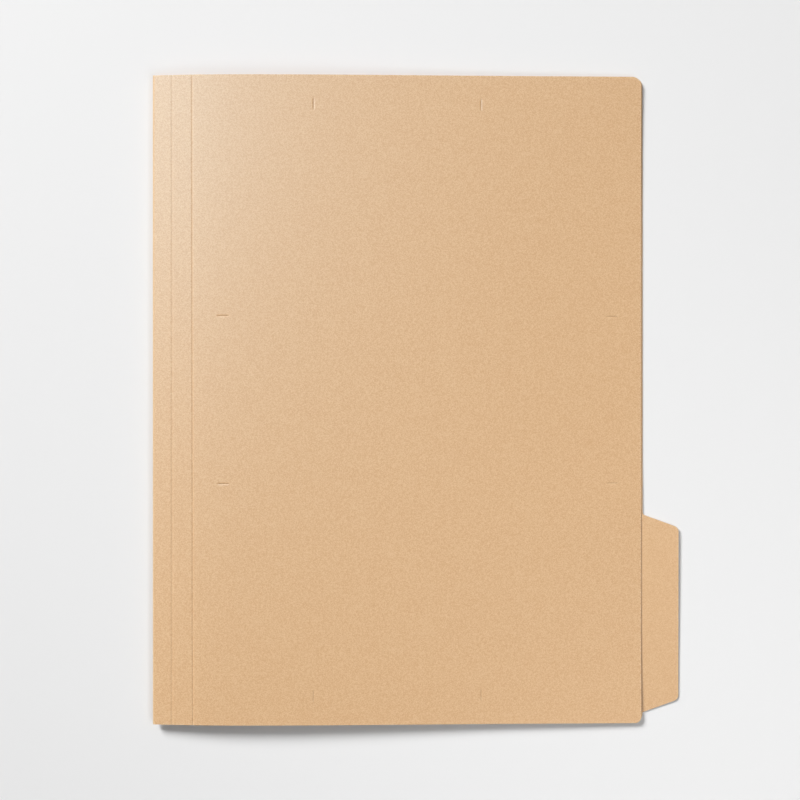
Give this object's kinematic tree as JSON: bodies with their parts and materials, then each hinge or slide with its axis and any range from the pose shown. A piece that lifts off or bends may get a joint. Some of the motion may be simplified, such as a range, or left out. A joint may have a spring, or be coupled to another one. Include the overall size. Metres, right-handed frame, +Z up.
{
  "type": "card paper holder",
  "caption": "Slim folder of brown card for A4 sheets, with a soft spine fold, scored gusset strips, fastener slits and a side index tab on the back cover.",
  "frame": {"origin": "on the table under the middle of the closed holder's overall box, index tab included", "axes": "+Z up through the closed covers; +Y along the spine, away from the end that the index tab is near; +X from the spine to the free edges and the index tab"},
  "size_m": [0.252, 0.31, 0.0065],
  "materials": {
    "card": "smooth uncoated kraft card with a faint fibre grain and a soft sheen"
  },
  "bodies": {
    "back_cover": {"back_cover": "card"},
    "main_fold": {"main_fold": "card"},
    "inner_gusset_strip": {"inner_gusset_strip": "card"},
    "outer_gusset_strip": {"outer_gusset_strip": "card"},
    "front_cover": {"front_cover": "card"}
  },
  "joints": [
    {"name": "cover_opening", "type": "hinge", "parent": "back_cover", "child": "main_fold", "pos_m": [-0.1249, 0, 0.0033], "axis": [0, -1, 0], "range_deg": [0, 180], "deforming": ["main_fold"]},
    {"name": "gusset_expansion", "type": "hinge", "parent": "main_fold", "child": "inner_gusset_strip", "pos_m": [-0.12485, 0, 0.00441], "axis": [0, -1, 0], "range_deg": [0, 84]},
    {"name": "first_score_fold", "type": "hinge", "parent": "inner_gusset_strip", "child": "outer_gusset_strip", "pos_m": [-0.1166, 0, 0.00472], "axis": [0, 1, 0], "range_deg": [0, 42]},
    {"name": "second_score_fold", "type": "hinge", "parent": "outer_gusset_strip", "child": "front_cover", "pos_m": [-0.10667, 0, 0.00538], "axis": [0, 1, 0], "range_deg": [0, 42]}
  ],
  "couplings": [
    {"joint": "first_score_fold", "follows": "gusset_expansion", "ratio": 0.5},
    {"joint": "second_score_fold", "follows": "gusset_expansion", "ratio": 0.5}
  ]
}
